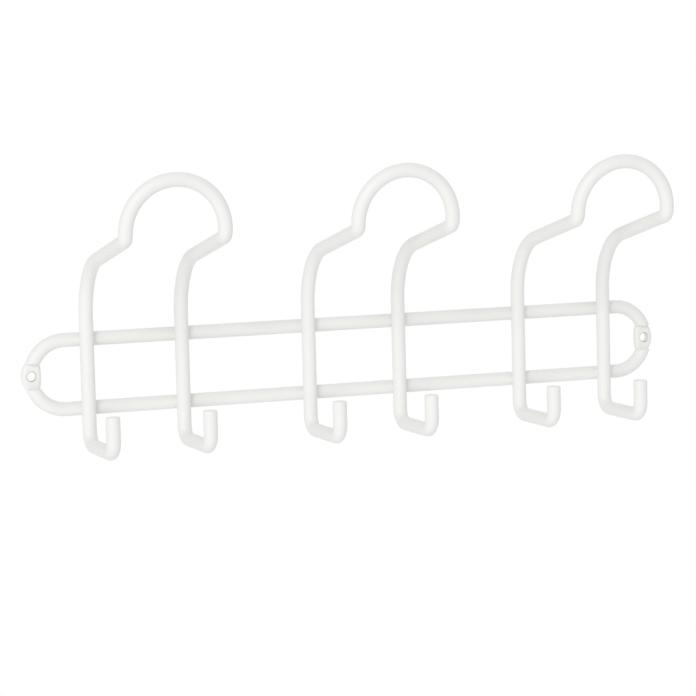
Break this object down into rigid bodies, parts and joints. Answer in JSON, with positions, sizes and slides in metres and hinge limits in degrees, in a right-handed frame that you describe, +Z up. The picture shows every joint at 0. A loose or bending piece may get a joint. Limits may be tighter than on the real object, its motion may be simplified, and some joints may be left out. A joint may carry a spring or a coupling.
{
  "type": "wall coat rack",
  "caption": "Wall coat rack of bent round rod: an oblong frame with pressed screw lugs carries arched hat hooks, each with small upturned coat hooks below.",
  "frame": {"origin": "on the wall face, midway between the two screw holes", "axes": "+X along the rack, to the right as seen from the room; +Y into the wall; +Z up"},
  "size_m": [0.3944, 0.1052, 0.1594],
  "materials": {
    "white_powder_coat": "semi-gloss white powder coat over mild steel"
  },
  "bodies": {
    "root": {"wall_frame": "white_powder_coat", "hook_wire_left": "white_powder_coat", "hook_wire_middle": "white_powder_coat", "hook_wire_right": "white_powder_coat", "welds": "white_powder_coat"}
  },
  "joints": []
}
